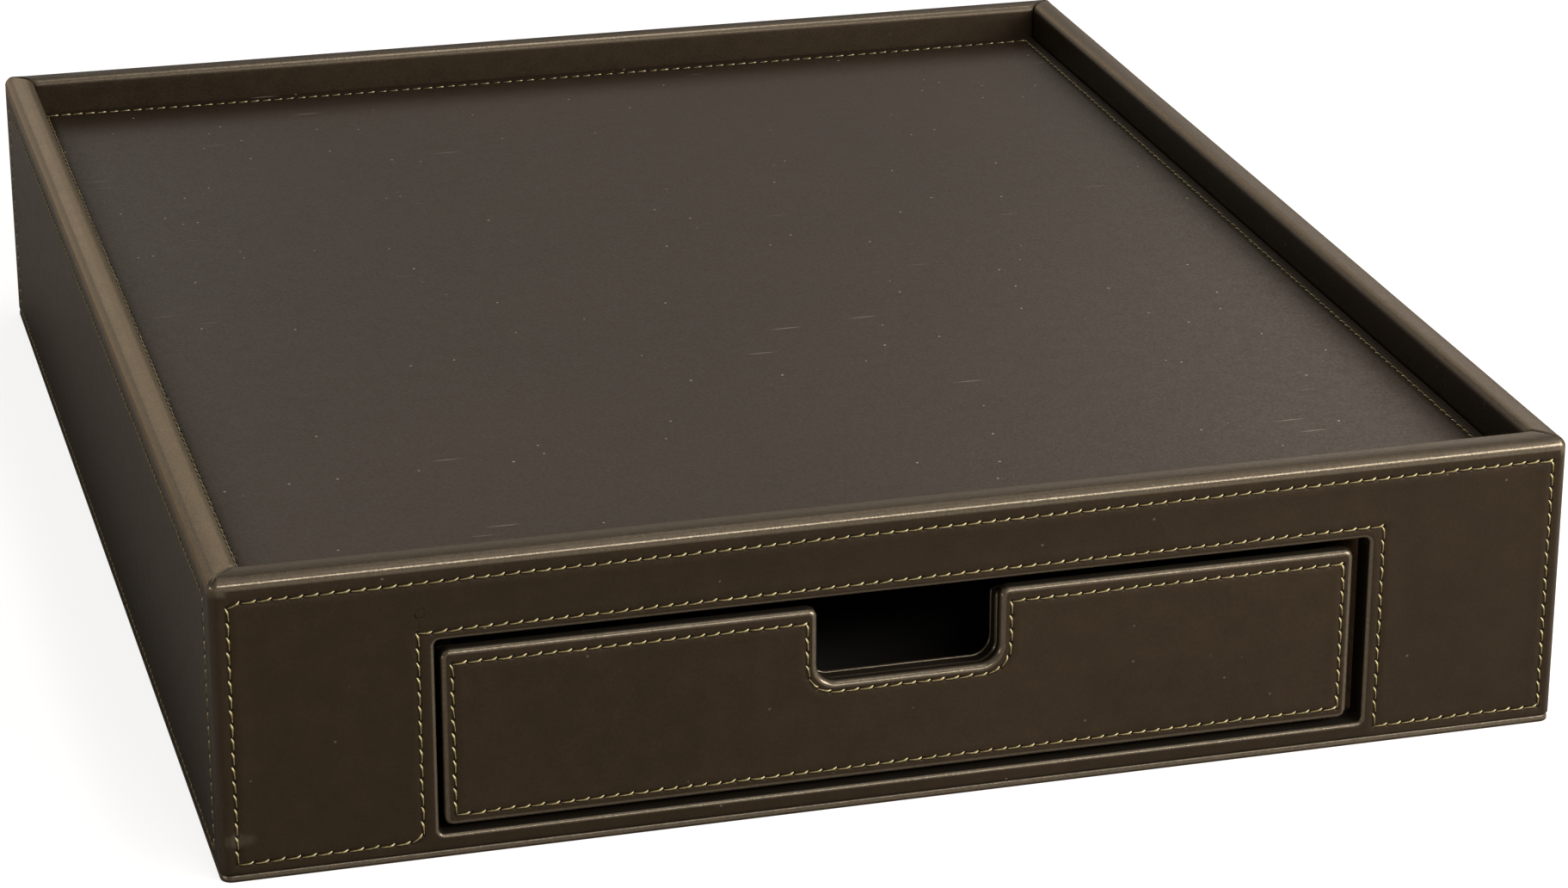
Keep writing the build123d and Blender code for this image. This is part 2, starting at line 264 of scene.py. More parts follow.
def seamRelief(seam, where, channel=0.2, puff=0.14):
    # height of the leather beside a seam, and its distance from the seam and place along it for the finish
    look = pressed
    side, run = seam.near(where)
    gap = np.abs(side)
    hole = np.abs(run - np.round(run)) * tray["pitch"]
    pull = bell(gap, look["pullWide"]) * bell(hole, look["pullLong"])
    lift = (-channel * bell(gap, look["channelWide"]) - look["pullDeep"] * pull
            + puff * bell(gap - look["puffAt"], look["puffWide"]))
    return lift, {"side": np.clip(side, -3, 3), "run": run}


def besideSeam(seam, u, v):
    # the cells that lie close to a seam
    flat = np.stack([u.ravel(), v.ravel()], axis=1)
    return (np.abs(seam.near(flat)[0]) < pressed["reach"]).reshape(u.shape)


def besideRim(rim, u, v, reach):
    # the cells that lie close to the edge of an outline
    close = np.zeros(u.shape, bool)
    for x, y in rim[::12]:
        close |= np.hypot(u - x, v - y) < reach
    return close


def ripple(x, y, size):
    # slow unevenness of glued leather, as a sum of a few crossing waves of an angle, scale and phase
    total = 0
    waves = ((0.4, 1.0, 0.3), (1.9, 1.7, 2.1), (2.7, 2.9, 4.4), (1.1, 4.3, 1.2))
    for k, (angle, scale, phase) in enumerate(waves):
        along = x * math.cos(angle) + y * math.sin(angle)
        total = total + np.sin(along * scale / size + phase) / (k + 1.5)
    return total / 1.6


def bridge(loop, nextLoop):
    # faces between two closed rows of points
    pairs = list(zip(loop, nextLoop))
    return [[after, here, hereNext, afterNext]
            for (here, hereNext), (after, afterNext) in zip(pairs, pairs[1:] + pairs[:1])]


unmarked = {"rub": 0.0, "hollow": 0.0, "side": 9.0, "run": 0.0}


def extended(marks, count, **values):
    # the marks of a sheet's points, with those of further points at their end
    more = dict(unmarked, **values)
    return {key: np.concatenate([marks[key], np.broadcast_to(more[key], count)]) for key in unmarked}


def turnedAway(sideways):
    # from 0 to 1 where an edge has rolled almost square to the sheet
    return min(1.0, max(0.0, (sideways - 0.78) / 0.14))


def rolledRows(edge, depth, turnIn=0.0, backEdge=0.0, steps=7):
    # rows of points over a sheet's edge: across the outline, along the thickness, and the way they face
    rows = []
    for turn in np.linspace(0, math.pi / 2, steps + 1)[1:]:
        sideways, ahead = math.sin(turn), math.cos(turn)
        rows.append((edge * (sideways - 1), edge * (ahead - 1), sideways, ahead))
    rows += [(0.0, -y, 1.0, 0.0) for y in linesThrough([edge, depth - backEdge], 1.4)[1:]]
    if backEdge:
        for turn in np.linspace(0, math.pi / 2, 6)[1:]:
            sideways, ahead = math.cos(turn), -math.sin(turn)
            rows.append((backEdge * (sideways - 1), backEdge * (1 + ahead) - depth, sideways, ahead))
        rows.append((-turnIn, -depth, 0.0, -1.0))
    return rows


def rollOver(sheet, loop, spots, away, place, rows, gapShade, deep):
    # carries a sheet over its edge from an open loop, row by row, with wear and a painted sheen on the
    # roll, and painted shade beside a gap and beyond the roll
    outer, inner, faces, marks = sheet
    for across, up, sideways, ahead in rows:
        both = []
        for sink in (0.0, tray["sheet"]):
            spot = spots + away * (across - sideways * sink)
            both.append(place(spot[:, 0], spot[:, 1], np.full(len(spot), up - ahead * sink)))
        shadeHere = deep if ahead < 0.1 else gapShade * turnedAway(sideways)
        marks = extended(marks, len(loop), rub=max(0.0, 2 * sideways * ahead), hollow=shadeHere)
        fresh = list(range(len(outer), len(outer) + len(loop)))
        faces = faces + bridge(loop, fresh)
        outer, inner = np.concatenate([outer, both[0]]), np.concatenate([inner, both[1]])
        loop = fresh
    return outer, inner, faces, marks


def upright(front):
    # places points of an upright panel, lifted towards the front
    def place(x, z, up):
        return np.stack([x, front - up, z], axis=1)
    return place


def addMesh(name, points, faces, finish, marks):
    # a mesh object from points in millimetres, with its finish and marks
    mesh = bpy.data.meshes.new(name)
    mesh.from_pydata(points * mm, [], faces)
    mesh.validate()
    mesh.shade_smooth()
    mesh.materials.append(finish)
    for key, values in marks.items():
        store = mesh.attributes.new(key, "FLOAT", "POINT")
        store.data.foreach_set("value", values.astype(np.float32))
    made = bpy.data.objects.new(name, mesh)
    scene.collection.objects.link(made)
    return made


def shell(name, outer, inner, faces, marks, finish, body, *nodes):
    # a closed sheet between its outer and inner points
    count = len(outer)
    first, second, third = np.array([face[:3] for face in faces]).T
    facing = np.cross(outer[second] - outer[first], outer[third] - outer[second])
    if (facing * (outer - inner)[first]).sum() < 0:
        faces = [face[::-1] for face in faces]
    closed = [list(face) for face in faces] + [[v + count for v in reversed(face)] for face in faces]
    for loop in openLoops(faces):
        for a, b in zip(loop, loop[1:] + loop[:1]):
            closed.append([b, a, a + count, b + count])
    made = addMesh(name, np.concatenate([outer, inner]), closed, finish, extended(marks, count))
    made.data.set_sharp_from_angle(angle=math.radians(50))
    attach(made, body)
    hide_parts(*nodes)


sewn = {
    "rings": 12,
    "sides": 8,
    "thick": 0.33,         # radius of the bead at the end of a stitch
    "thin": 0.46,          # share of it along the stitch
    "beadFrom": 0.55,      # where the thread swells to the bead, as a share of the stitch
    "beadOver": 0.27,
    "taper": 0.45,         # how blunt the ends are
    "hook": 0.42,          # how far the bead turns up
    "hookFrom": 0.68,
    "aside": 0.08,         # how far the stitch lies to the right of its line
    "slant": 4.0,          # degrees
    "gap": 0.2,            # left open for the needle hole
    "high": 0.3,
    "deep": 0.3,           # how far the ends dive in
    "ply": 0.16,           # how much the two plies stand out
    "plyTurns": 5.2,
    "shade": 0.18,         # painted highlight: brightness along the stitch, where the bead has 1
    "brightFrom": 0.66,
    "brightOver": 0.2,
    "dullest": 0.7,        # share of the brightness that the dullest stitch has
    # how much each differs from stitch to stitch
    "spread": {"slant": 2.5, "length": 0.015, "aside": 0.05, "high": 0.02, "thick": 0.05},
}


def sewing(name, seam, place, body, sink=0.0, fineness=1.0):
    # every stitch as a slanted, twisted length of two-ply thread that dives into a hole at each end
    look, spread = sewn, sewn["spread"]
    t = np.linspace(0, 1, look["rings"])
    turn = np.linspace(0, 2 * math.pi, look["sides"], endpoint=False)
    swell = look["thin"] + (1 - look["thin"]) * rising(t, look["beadFrom"], look["beadOver"])
    ends = np.sin(np.clip(0.06 + t * 0.9, 0, 1) * math.pi) ** look["taper"]
    upturn = look["hook"] * rising(t, look["hookFrom"], 1 - look["hookFrom"]) ** 1.5
    arch = look["high"] * np.sin(t * math.pi) ** 0.5 * (0.75 + 0.45 * t)
    # painted highlight along each stitch, brightest at the bead
    beadHighlight = look["shade"] + (1 - look["shade"]) * rising(t, look["brightFrom"], look["brightOver"])
    lobes = 1 + look["ply"] * np.cos(2 * (turn[None, :] - t[:, None] * look["plyTurns"]))
    points, faces, highlightAlong = [], [], []
    for middle, along, length in seam.stitches():
        if along[0] < -0.5 or (abs(along[0]) <= 0.5 and along[1] < 0):
            along = -along
        across = np.array([-along[1], along[0]])
        lean = math.tan(math.radians(look["slant"] + chance.normal(0, spread["slant"])))
        x = (t - 0.5) * (length - look["gap"]) * (1 + chance.normal(0, spread["length"]))
        y = x * lean + upturn + chance.normal(0, spread["aside"]) - look["aside"]
        z = arch - look["deep"] + sink + chance.normal(0, spread["high"])
        radius = look["thick"] * fineness * swell * ends * (1 + chance.normal(0, spread["thick"]))
        ringY = y[:, None] + radius[:, None] * lobes * np.cos(turn)
        ringZ = z[:, None] + radius[:, None] * lobes * np.sin(turn)
        ringX = np.repeat(x[:, None], look["sides"], axis=1)
        flat = middle + ringX[..., None] * along + ringY[..., None] * across
        rings = np.arange(look["rings"] * look["sides"]).reshape(look["rings"], -1)
        rings = (rings + len(points) * rings.size).tolist()
        points.append(place(flat[..., 0].ravel(), flat[..., 1].ravel(), ringZ.ravel()))
        highlightAlong.append(np.repeat(beadHighlight * chance.uniform(look["dullest"], 1.0), look["sides"]))
        for turned, nextTurned in zip(rings, rings[1:]):
            faces += bridge(nextTurned, turned)
        faces += [rings[0][::-1], rings[-1]]
    made = addMesh(name, np.concatenate(points), faces, threadFinish, {"rub": np.concatenate(highlightAlong)})
    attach(made, body)


# Finishes

class Wire:  # a socket that takes part in sums, so that a mask reads as one line of arithmetic

    def __init__(self, finish, socket):
        self.finish = finish
        self.socket = socket

    def sum(self, operation, *values, clamp=False):
        settings = {"operation": operation, "use_clamp": clamp}
        return self.finish.read("ShaderNodeMath", 0, settings, dict(enumerate(values)))

    def __add__(self, other):
        return self.sum("ADD", self, other)

    def __radd__(self, other):
        return self.sum("ADD", other, self)

    def __sub__(self, other):
        return self.sum("SUBTRACT", self, other)

    def __rsub__(self, other):
        return self.sum("SUBTRACT", other, self)

    def __mul__(self, other):
        return self.sum("MULTIPLY", self, other)

    def __rmul__(self, other):
        return self.sum("MULTIPLY", other, self)

    def __gt__(self, other):
        return self.sum("GREATER_THAN", self, other)

    def __lt__(self, other):
        return self.sum("LESS_THAN", self, other)

    def clamped(self):
        return self.sum("ADD", self, 0.0, clamp=True)

    def fraction(self):
        return self.sum("FRACT", self)

    def between(self, low, high):
        # 0 at low, 1 at high, smooth between them
        return self.finish.read("ShaderNodeMapRange", "Result", {"interpolation_type": "SMOOTHSTEP"},
                                {"Value": self, "From Min": low, "From Max": high})


class Finish:  # one node material

    def __init__(self, name):
        self.material = bpy.data.materials.new(name)
        self.material.use_nodes = True
        self.tree = self.material.node_tree
        self.tree.nodes.clear()
        self.place = self.read("ShaderNodeTexCoord", "Object")

    def node(self, kind, settings=None, values=None):
        made = self.tree.nodes.new(kind)
        for key, value in (settings or {}).items():
            setattr(made, key, value)
        for key, value in (values or {}).items():
            if isinstance(value, Wire):
                self.tree.links.new(value.socket, made.inputs[key])
            else:
                made.inputs[key].default_value = value
        return made

    def read(self, kind, output, settings=None, values=None):
        return Wire(self, self.node(kind, settings, values).outputs[output])

    def noise(self, scale, detail=2.0, rough=0.5, place=None, bend=0.0):
        return self.read("ShaderNodeTexNoise", "Fac", None, {
            "Vector": place or self.place, "Scale": scale, "Detail": detail, "Roughness": rough,
            "Distortion": bend})

    def cells(self, scale, feature="F1", output="Distance", place=None):
        return self.read("ShaderNodeTexVoronoi", output, {"feature": feature}, {
            "Vector": place or self.place, "Scale": scale})

    def stretched(self, stretch, angle=0.0):
        # coordinates turned about the upright axis and stretched
        return self.read("ShaderNodeMapping", "Vector", None, {
            "Vector": self.place, "Rotation": (0.0, 0.0, math.radians(angle)), "Scale": stretch})

    def mark(self, key):
        return self.read("ShaderNodeAttribute", "Fac", {"attribute_name": key})

    def blend(self, factor, one, other, kind="MIX"):
        return self.read("ShaderNodeMix", 2, {"data_type": "RGBA", "blend_type": kind},
                         {0: factor, 6: one, 7: other})

    def bump(self, height, distance, strength=1.0):
        return self.read("ShaderNodeBump", "Normal", None,
                         {"Height": height, "Distance": distance, "Strength": strength})

    def surface(self, colour, roughness, normal=None, **more):
        values = {"Base Color": colour, "Roughness": roughness}
        if normal is not None:
            values["Normal"] = normal
        values.update({key.replace("_", " "): value for key, value in more.items()})
        made = self.node("ShaderNodeBsdfPrincipled", None, values)
        out = self.node("ShaderNodeOutputMaterial")
        self.tree.links.new(made.outputs[0], out.inputs["Surface"])
        return self.material


def colour(red, green, blue):
    # a colour as a picture shows it, from 0 to 255, as the light that the shader works in
    def light(value):
        value = value / 255
        return value / 12.92 if value <= 0.04045 else ((value + 0.055) / 1.055) ** 2.4
    return (light(red), light(green), light(blue), 1.0)


leatherLook = {
    "dark": colour(36, 28, 19),
    "light": colour(46, 36, 26),
    # lighter tone of worn edges, which also paints a sheen
    "sheenAndWearTone": colour(150, 137, 117),
    "shade": colour(6, 5, 3),
    "speck": colour(190, 180, 160),
    "grainSize": 0.75,     # millimetres across one grain of the embossing
    "grainHeight": 0.04,
    "specksPerMetre": 240.0,             # places for specks, of which few are taken
    "roughness": 0.4,
    "polish": 0.17,        # how much smoother the rubbed edges are
    "gloss": 0.34,
    "pearl": 0.6,          # how far the rubbed edges shine like metal
    "glint": (1.0, 0.77, 0.53, 1.0),     # the coppery tone of its highlights
}


def leather(name, specks=0.0, tint=1.0):
    look = leatherLook
    f = Finish(name)
    broad = f.noise(9.0, 3.0, 0.55)
    mottle = f.noise(160.0, 3.0, 0.6)
    tone = (broad * 0.6 + mottle * 0.5).between(0.3, 0.8)
    # a tint below 1 makes a darker copy of the leather: painted shade
    shadeOf = [tuple(c * tint for c in look[key][:3]) + (1.0,) for key in ("dark", "light")]
    base = f.blend(tone, *shadeOf)
    rub, hollow, side = f.mark("rub"), f.mark("hollow"), f.mark("side")
    # wear and painted sheen: the marked places turn lighter and more metal-like
    sheenAndWear = (rub * (0.88 + f.noise(900.0, 2.0) * 0.2)).clamped()
    base = f.blend(sheenAndWear * 0.5, base, look["sheenAndWearTone"])
    base = f.blend(1.0, base, 0.5 + f.noise(1100.0, 3.0, 0.7), "MULTIPLY")
    # painted shade in the needle holes, a painted contact shadow along the stitch channel, and painted
    # shade in the marked crevices
    fromHole = ((f.mark("run") + 0.5).fraction() - 0.5) * tray["pitch"]
    hole = (side * side + fromHole * fromHole * 0.8).between(0.42, 0.1)
    channel = (side * side).between(0.7, 0.05)
    base = f.blend((hollow + channel * 0.45 + hole).clamped(), base, look["shade"])
    if specks:
        # single dots of dust, and short scuffs in three directions
        chosen = f.cells(look["specksPerMetre"], output="Color")
        few = f.read("ShaderNodeSeparateColor", 0, None, {0: chosen}) > 0.88
        marks = (f.cells(look["specksPerMetre"]) < 0.08) * few
        for angle, strength in ((35.0, 0.378), (-50.0, 0.426), (80.0, 0.33)):
            streak = f.stretched((28.0, 420.0, 60.0), angle)
            chosen = f.cells(1.0, output="Color", place=streak)
            few = f.read("ShaderNodeSeparateColor", 1, None, {0: chosen}) > 0.975
            marks = marks + f.cells(1.0, place=streak).between(0.16, 0.06) * few * strength
        base = f.blend((marks * specks).clamped(), base, look["speck"])
    grain = f.cells(1000.0 / look["grainSize"], "DISTANCE_TO_EDGE").between(0.0, 0.32)
    fine = f.noise(2400.0, 2.0)
    pores = f.noise(1000.0, 3.0, 0.6)
    height = (grain * 0.5 + fine * 0.4 + pores * 0.8) * (1.0 - rub * 0.6) - hole * 4.0
    rough = (look["roughness"] + (mottle - 0.5) * 0.12 + (pores - 0.5) * (1.0 - rub) * 0.3
             - rub * look["polish"] + (hollow + hole) * 0.45)
    return f.surface(base, rough, f.bump(height, look["grainHeight"] * mm, 0.8),
                     Metallic=sheenAndWear * look["pearl"], Specular_IOR_Level=look["gloss"],
                     Specular_Tint=look["glint"])


def thread():
    f = Finish("thread")
    strand = f.noise(1900.0, 2.0, 0.6)
    # a darker tail and a painted highlight on the bead of each stitch, from its mark
    beadHighlight = (f.mark("rub") + (strand - 0.5) * 0.6).clamped()
    base = f.blend(beadHighlight, colour(108, 90, 46), colour(240, 221, 162))
    return f.surface(base, 0.5 + (strand - 0.5) * 0.2, f.bump(strand, 0.05 * mm, 0.7),
                     Specular_IOR_Level=0.5)


def fibreboard():
    f = Finish("fibreboard")
    specks = f.noise(900.0, 4.0, 0.7)
    layers = f.noise(60.0, 2.0, place=f.stretched((1.0, 1.0, 9.0)))
    tone = (specks * 0.6 + layers * 0.4).between(0.3, 0.7)
    base = f.blend(tone, colour(140, 104, 70), colour(176, 140, 100))
    return f.surface(base, 0.82 + (specks - 0.5) * 0.1, f.bump(specks, 0.08 * mm, 0.6))


def softwood():
    f = Finish("softwood")
    grain = f.noise(1.0, 4.0, 0.6, f.stretched((160.0, 3.0, 160.0)), 0.6)
    base = f.blend(grain.between(0.35, 0.65), colour(186, 150, 104), colour(214, 182, 136))
    return f.surface(base, 0.7 + (grain - 0.5) * 0.15, f.bump(grain, 0.12 * mm, 0.5))


def felt():
    f = Finish("felt")
    fibres = f.noise(1500.0, 3.0, 0.7, bend=1.4)
    tufts = f.noise(260.0, 3.0)
    tone = (fibres * 0.6 + tufts * 0.5).between(0.35, 0.75)
    base = f.blend(tone, colour(30, 27, 24), colour(58, 53, 47))
    return f.surface(base, 0.92 + (fibres - 0.5) * 0.1, f.bump(fibres, 0.25 * mm, 0.9),
                     Sheen_Weight=0.25, Sheen_Roughness=0.6)


def liningCloth():
    f = Finish("liningCloth")
    nap = f.noise(700.0, 3.0, 0.65, bend=0.8)
    stroke = f.noise(22.0, 2.0)
    tone = (nap * 0.5 + stroke * 0.6).between(0.35, 0.75)
    base = f.blend(tone, colour(19, 15, 10), colour(30, 23, 16))
    return f.surface(base, 0.88 + (nap - 0.5) * 0.12, f.bump(nap, 0.12 * mm, 0.7),
                     Sheen_Weight=0.02, Sheen_Roughness=0.5)


def nailSteel():
    f = Finish("nailSteel")
    draw = f.noise(900.0, 2.0)
    base = f.blend(draw.between(0.3, 0.7), colour(150, 150, 150), colour(186, 186, 188))
    return f.surface(base, 0.38 + (draw - 0.5) * 0.2, f.bump(draw, 0.02 * mm, 0.4), Metallic=1.0)


deckLeather = leather("deckLeather", specks=0.8)
wallLeather = leather("wallLeather", specks=0.14)
# the front in a darker copy of the leather: painted shade
frontLeatherShaded = leather("frontLeatherShaded", specks=0.14, tint=0.86)
drawerLeather = leather("drawerLeather", specks=0.12)
plainLeather = leather("plainLeather")
threadFinish = thread()
finishes = {
    "leatherette": plainLeather,
    "fibreboard": fibreboard(),
    "softwood": softwood(),
    "felt": felt(),
    "lining_cloth": liningCloth(),
    "nail_steel": nailSteel(),
}
for row in frame["record"]["subparts"]:
    node = frame["nodes"][row["node"]]
    node.data.materials.clear()
    node.data.materials.append(finishes[row["material_slot"]])
print("finishes done")


# Walls: one sheet a side, wrapped up over the rim and down to the deck, mitred at the corners

walls = {
    "bottom": 1.9,
    "hem": 0.6,            # radius of the fold at the bottom
    "cornerRadius": 2.4,
    "rimInner": 2.4,       # radius of the rim's inner edge
    "rimWidth": 8.4,
    "innerBottom": 64.5,   # where the sheet ends inside, below the deck
    "endLines": 5,
    "cell": 2.5,
    # wear with a painted sheen on each rim's top, lightest on the left
    "topWearAndSheen": {"front": 0.25, "back": 0.0, "left": 0.85, "right": 0.3},
}
mitre = {
    "long": 20.0,          # how much of each end of a sheet is drawn in
    "slope": 0.75,
    "deep": 0.32,          # the groove where two sheets meet
    "wide": 0.32,
    "puff": 0.1,           # the swelling beside it
    "puffAt": 1.1,
    "puffWide": 0.7,
}
# the shoulder from the rim's top to the face, as distance along it and turn in degrees
shoulder = {"along": [0.0, 2.7, 4.12, 4.76, 6.33], "turn": [0.0, 13.0, 46.0, 49.0, 90.0]}
shoulderLength = shoulder["along"][-1]
shoulderAt = np.linspace(0, shoulderLength, 401)
shoulderTurn = np.radians(np.interp(shoulderAt, shoulder["along"], shoulder["turn"]))
shoulderOut, shoulderDown = (np.concatenate([[0], np.cumsum((wave[1:] + wave[:-1]) / 2 * shoulderAt[1])])
                             for wave in (np.cos(shoulderTurn), np.sin(shoulderTurn)))


def wallProfile(v):
    # inset, height and facing at a distance along the sheet, from the hem over the rim, and its bends
    w = walls
    hem, inner = (w[key] * math.pi / 2 for key in ("hem", "rimInner"))
    reach = shoulderOut[-1]
    face = tray["height"] - shoulderDown[-1] - w["bottom"] - w["hem"]
    flat = w["rimWidth"] - reach - w["rimInner"]
    ends = np.cumsum([hem, face, shoulderLength, flat, inner])
    hemTurn = v / w["hem"]
    down = np.clip(ends[2] - v, 0, shoulderLength)
    rimTurn = math.pi / 2 - np.interp(down, shoulderAt, shoulderTurn)
    innerTurn = (v - ends[3]) / w["rimInner"]
    top = tray["height"]
    stretches = [v < ends[0], v < ends[1], v < ends[2], v < ends[3], v < ends[4]]
    inset = np.select(stretches, [
        w["hem"] * (1 - np.sin(hemTurn)), 0 * v, reach - np.interp(down, shoulderAt, shoulderOut),
        reach + v - ends[2], w["rimWidth"] - w["rimInner"] * (1 - np.sin(innerTurn))], w["rimWidth"])
    height = np.select(stretches, [
        w["bottom"] + w["hem"] * (1 - np.cos(hemTurn)), w["bottom"] + w["hem"] + v - ends[0],
        top - np.interp(down, shoulderAt, shoulderDown), top + 0 * v,
        top - w["rimInner"] * (1 - np.cos(innerTurn))], top - w["rimInner"] - (v - ends[4]))
    inward = np.select(stretches, [
        -np.sin(hemTurn), -1 + 0 * v, -np.cos(rimTurn), 0 * v, np.sin(innerTurn)], 1)
    up = np.select(stretches, [
        -np.cos(hemTurn), 0 * v, np.sin(rimTurn), 1 + 0 * v, np.cos(innerTurn)], 0)
    return inset, height, inward, up, ends


class Wall:  # places points of a flat sheet on one side of the case

    def __init__(self, side):
        self.across = side in ("front", "back")
        self.half = tray["halfWidth"] if self.across else tray["halfDepth"]
        self.reach = tray["halfDepth"] if self.across else tray["halfWidth"]
        self.sign = -1 if side in ("front", "left") else 1

    def world(self, along, inset, height):
        far = self.sign * (self.reach - inset)
        return np.stack([along, far, height] if self.across else [far, along, height], axis=1)

    def at(self, u, v, depth, lift=0.0):
        # the sheet's point, sunk by depth and raised by lift
        inset, height, inward, up, ends = wallProfile(v)
        radius = walls["cornerRadius"]
        straight = self.half - radius
        level = inset - inward * depth
        height = height - up * depth
        angle = np.clip((np.abs(u) - straight) / radius, 0, math.pi / 4)
        bend = np.clip(radius - level, 0, None)
        start = self.half - mitre["long"]
        last = straight + radius * math.pi / 4
        squeezed = start + (np.abs(u) - start) * (self.half - level - start) / (last - start)
        curved = level < radius
        along = np.where(curved, np.minimum(np.abs(u), straight) + bend * np.sin(angle),
                         np.where(np.abs(u) > start, squeezed, np.abs(u)))
        level = np.where(curved & (angle > 0), radius - bend * np.cos(angle), level)
        outAlong = np.where(inset < radius, np.sin(angle) * -inward, 0)
        outInset = np.where(inset < radius, np.cos(angle) * inward, inward)
        along = along + outAlong * lift
        level = level + outInset * lift
        return self.world(np.sign(u) * along, level, height + up * lift)


def wallSheet(side, seam, waves, opening=None, stationsU=(), stationsV=()):
    wall = Wall(side)
    profile = wallProfile(np.zeros(1))[4]
    length = profile[4] + tray["height"] - walls["rimInner"] - walls["innerBottom"]
    straight = wall.half - walls["cornerRadius"]
    last = straight + walls["cornerRadius"] * math.pi / 4
    faceStart = profile[0] - walls["bottom"] - walls["hem"]     # distance along the sheet = height + this
    ends = np.linspace(straight, last, walls["endLines"])[1:]
    middle = linesThrough(sorted({-straight, straight, *stationsU}), walls["cell"])
    lines = np.concatenate([-ends[::-1], middle, ends])
    onFace = sorted({profile[0], profile[1], *(z + faceStart for z in stationsV)})
    levels = np.concatenate([
        np.linspace(0, profile[0], 4)[:-1],
        linesThrough(onFace, walls["cell"])[:-1],
        linesThrough(profile[2] - np.array(shoulder["along"])[::-1], 0.3)[:-1],
        np.linspace(profile[2], profile[3], 6)[:-1],
        np.linspace(profile[3], profile[4], 8)[:-1],
        linesThrough([profile[4], length], walls["cell"]),
    ])

    outline, edge = (opening["outline"], opening["edge"]) if opening else (None, 0.0)
    inOpening = outline.holds(edge) if opening else None

    def fine(u, v):
        close = besideSeam(seam, u, v - faceStart)
        return close | besideRim(outline.at(edge), u, v - faceStart, reach=2.4) if opening else close

    def keep(u, v):
        return ~inOpening(u, v - faceStart) if opening else np.ones(u.shape, bool)

    flat, faces, atHole = cellGrid(lines, levels, fine, keep)
    if opening:
        spots = np.nonzero(atHole)[0]
        found = outline.nearest(flat[spots] - [0, faceStart], edge)
        flat[spots] = outline.at(edge)[found] + [0, faceStart]
    u, v = flat.T
    lift, marks = seamRelief(seam, np.stack([u, v - faceStart], axis=1))
    belowRim = v < profile[1] + 0.8
    lift = np.where(belowRim, lift, 0)
    marks["side"] = np.where(belowRim, marks["side"], unmarked["side"])
    dip, gap, onRim = mitreDip(wall, u, v, profile)
    lift += dip + waves * ripple(u, v, size=30.0) * np.where(v < profile[0], 0, 1)
    outer = wall.at(u, v, 0, lift)
    inner = wall.at(u, v, tray["sheet"])
    # worn, with a painted sheen, on the rim's two bends, less on its top, and hardly at the upright corners
    sideTopSheen = walls["topWearAndSheen"][side]
    bends = profile[[1, 1, 1, 1, 3, 3, 4]] + [-0.3, 0.1, 1.3, 2.6, 0.0, 1.4, 0.0]
    rub = np.interp(v, bends, [0, 1, 1, sideTopSheen, sideTopSheen, 1, 0])
    corner = np.clip((np.abs(u) - straight) / walls["cornerRadius"] * 1.2, 0, 1)
    marks["rub"] = np.maximum(rub, np.where(v < profile[1], corner * 0.1, 0))
    # painted shade under the hem and in the mitre grooves
    underHem = np.interp(v, [0, profile[0] + 0.3], [0.9, 0])
    marks["hollow"] = np.maximum(bell(gap, 0.2) * onRim * 0.8, underHem)
    sheet = outer, inner, faces, marks
    if opening:
        # turned round the opening's edge and back along the board's cut, with painted shade inside the
        # opening
        loop = max((l for l in openLoops(faces) if all(atHole[v] for v in l)), key=len)
        found = outline.nearest(flat[loop] - [0, faceStart], edge)
        sheet = rollOver(sheet, loop, outline.points[found], outline.normals[found], upright(-wall.reach),
                         rolledRows(edge, opening["depth"], steps=5), gapShade=0.95, deep=0.95)
    shell(side + "Sheet", *sheet, frontLeatherShaded if opening else wallLeather, "case", side + "_cover")


def mitreDip(wall, u, v, profile):
    # the sheets turn down where two of them meet on the rim
    straight = wall.half - walls["cornerRadius"]
    last = straight + walls["cornerRadius"] * math.pi / 4
    start = wall.half - mitre["long"]
    inset = wallProfile(v)[0]
    real = np.where(inset < walls["cornerRadius"], 1.0, (wall.half - inset - start) / (last - start))
    gap = (last - np.abs(u)) * real * mitre["slope"]
    onRim = rising(v - profile[1], 1.2, 1.6)
    puff = mitre["puff"] * bell(gap - mitre["puffAt"], mitre["puffWide"])
    return (puff - mitre["deep"] * bell(gap, mitre["wide"])) * onRim, gap, onRim


frontSeam = Seam([
    [(-170.8, 4.7), (-128.0, 4.9), (-126.2, 5.3), (-125.2, 6.6)],
    [(-125.2, 6.6), (-125.2, 60.6)],
    [(-125.2, 60.6), (-123.2, 60.0), (-120.0, 60.5), (124.9, 60.8)],
    [(124.9, 60.8), (124.9, 4.7)],
    [(124.9, 4.7), (171.0, 4.7)],
    [(171.0, 4.7), (171.0, 74.1)],
    [(171.0, 74.1), (-169.6, 73.4), (-170.8, 72.4)],
    [(-170.8, 72.4), (-170.8, 4.7)],
], tray["pitch"])

opening = {
    "half": 121.25,
    "bottom": 6.1,
    "top": 58.0,
    "corner": 1.5,
    "edge": 1.1,           # radius that the sheet turns in with
    "depth": 7.7,          # how far it follows the board's cut
}
opening["outline"] = Outline([
    (side * opening["half"], opening[level], opening["corner"])
    for side, level in ((1, "top"), (1, "bottom"), (-1, "bottom"), (-1, "top"))])


sideSewing = {"low": 4.2, "high": 71.8, "fromCorner": 10.5}


def sideSeam(side):
    low, high = sideSewing["low"], sideSewing["high"]
    end = Wall(side).half - sideSewing["fromCorner"]
    corners = [(-end, low), (end, low), (end, high), (-end, high)]
    return Seam(zip(corners, corners[1:] + corners[:1]), tray["pitch"])


